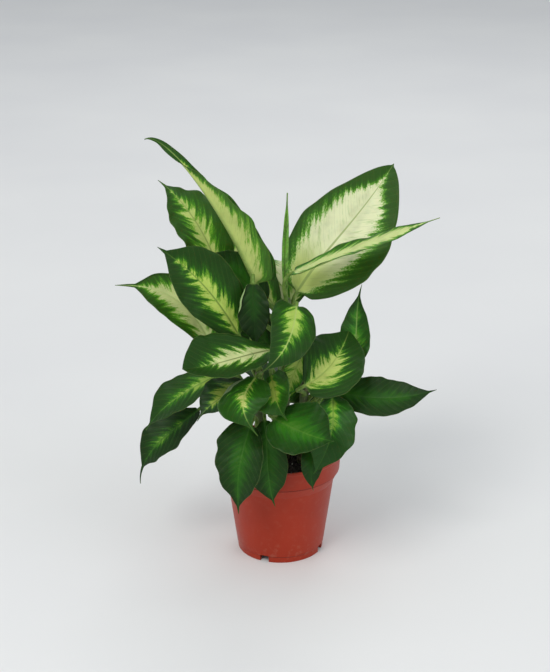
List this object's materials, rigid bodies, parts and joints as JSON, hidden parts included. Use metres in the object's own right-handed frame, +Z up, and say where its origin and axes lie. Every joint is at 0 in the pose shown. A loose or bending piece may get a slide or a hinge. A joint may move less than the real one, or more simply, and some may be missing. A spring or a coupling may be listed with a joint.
{
  "type": "potted foliage plant",
  "caption": "Bushy dieffenbachia with wide pointed green leaves blotched cream along the midrib, on short upright canes in a round flared plastic nursery pot of peat soil.",
  "frame": {"origin": "centre of the pot's underside, on the ground it stands on", "axes": "+Z up along the axis of the pot, -Y towards the front that the picture shows, +X to the right of a viewer at the front"},
  "size_m": [0.3072, 0.2514, 0.4215],
  "materials": {
    "pot": "satin terracotta-red moulded plastic",
    "soil": "dark crumbly peat",
    "cane": "smooth green stem with ring scars",
    "leaf": "semi-gloss leaf, cream and lime blotches along the midrib"
  },
  "bodies": {
    "root": {"pot": "pot", "soil": "soil", "cane_main": "cane", "cane_left": "cane", "cane_right": "cane", "cane_back": "cane", "leaf_01": "leaf", "leaf_02": "leaf", "leaf_03": "leaf", "leaf_04": "leaf", "leaf_05": "leaf", "leaf_06": "leaf", "leaf_07": "leaf", "leaf_08": "leaf", "leaf_09": "leaf", "leaf_10": "leaf", "leaf_11": "leaf", "leaf_12": "leaf", "leaf_13": "leaf", "leaf_14": "leaf", "leaf_15": "leaf", "leaf_16": "leaf", "leaf_17": "leaf", "leaf_18": "leaf", "leaf_19": "leaf", "leaf_20": "leaf", "leaf_21": "leaf", "leaf_22": "leaf", "leaf_23": "leaf", "leaf_24": "leaf", "leaf_25": "leaf", "leaf_26": "leaf", "leaf_27": "leaf", "leaf_28": "leaf", "leaf_29": "leaf", "leaf_30": "leaf", "leaf_31": "leaf", "leaf_32": "leaf", "leaf_33": "leaf", "leaf_34": "leaf"}
  },
  "joints": []
}
